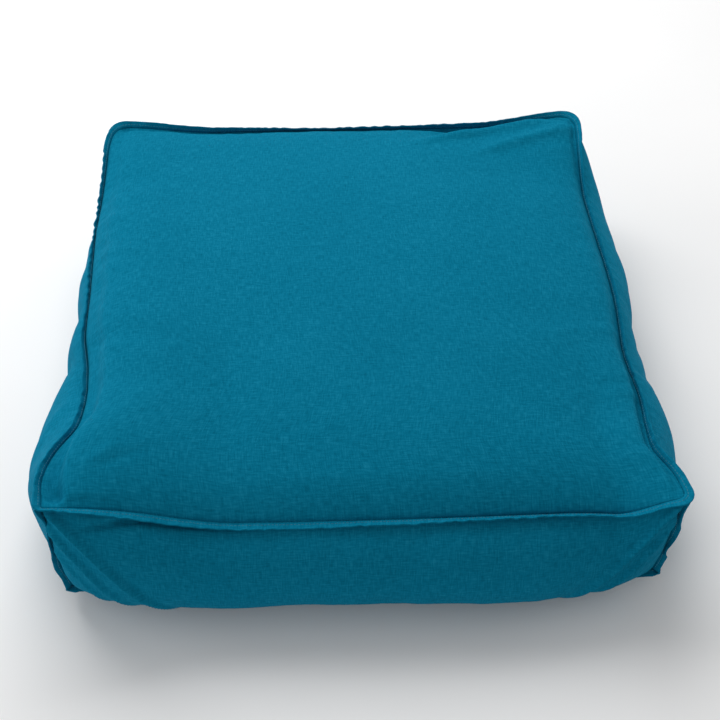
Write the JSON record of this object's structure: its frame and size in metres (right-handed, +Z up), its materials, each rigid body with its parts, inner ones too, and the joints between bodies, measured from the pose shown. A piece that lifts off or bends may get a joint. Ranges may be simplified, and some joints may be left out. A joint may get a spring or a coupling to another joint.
{
  "type": "floor cushion",
  "caption": "Square box floor cushion: zipped woven cotton cover with turned-out flange seams over a filled inner pad.",
  "frame": {"origin": "middle of the underside, on the surface that the cushion lies on", "axes": "+Z up, -Y the front, +Y the rear side with the zip, +X to the right seen from the front"},
  "size_m": [0.672, 0.677, 0.183],
  "materials": {
    "cover_cloth": "plain-weave slub cotton, matte",
    "thread": "spun polyester thread",
    "zip_tape": "woven tape",
    "zip_coil": "nylon coil",
    "zip_metal": "satin nickel",
    "pad_case": "white cotton lining",
    "filling": "polyester fibre"
  },
  "bodies": {
    "cover": {"top_panel": "cover_cloth", "bottom_panel": "cover_cloth", "front_side_panel": "cover_cloth", "left_side_panel": "cover_cloth", "right_side_panel": "cover_cloth", "rear_strip_upper": "cover_cloth", "rear_strip_lower": "cover_cloth", "rear_end_piece_left": "cover_cloth", "rear_end_piece_right": "cover_cloth", "top_seam_thread": "thread", "bottom_seam_thread": "thread", "corner_seam_thread_front_left": "thread", "corner_seam_thread_front_right": "thread", "corner_seam_thread_rear_left": "thread", "corner_seam_thread_rear_right": "thread", "zip_thread_upper": "thread", "zip_thread_lower": "thread", "zip_bar_tack_left": "thread", "zip_bar_tack_right": "thread", "zip_tape_upper": "zip_tape", "zip_tape_lower": "zip_tape", "zip_coil_upper": "zip_coil", "zip_coil_lower": "zip_coil", "zip_top_stop_upper": "zip_metal", "zip_top_stop_lower": "zip_metal", "zip_bottom_stop": "zip_metal", "pad_case_top": "pad_case", "pad_case_bottom": "pad_case", "pad_case_boxing": "pad_case", "pad_filling": "filling"},
    "slider": {"zip_slider": "zip_metal"},
    "pull": {"zip_pull": "zip_metal"}
  },
  "joints": [
    {"name": "zip_slide", "type": "slide", "parent": "cover", "child": "slider", "axis": [1, 0, 0], "range_m": [0, 0.42], "deforming": ["zip_coil_upper", "zip_coil_lower"]},
    {"name": "pull_swing", "type": "hinge", "parent": "slider", "child": "pull", "pos_m": [-0.214, 0.339, 0.076], "axis": [0, 0, 1], "range_deg": [0, 175]}
  ]
}
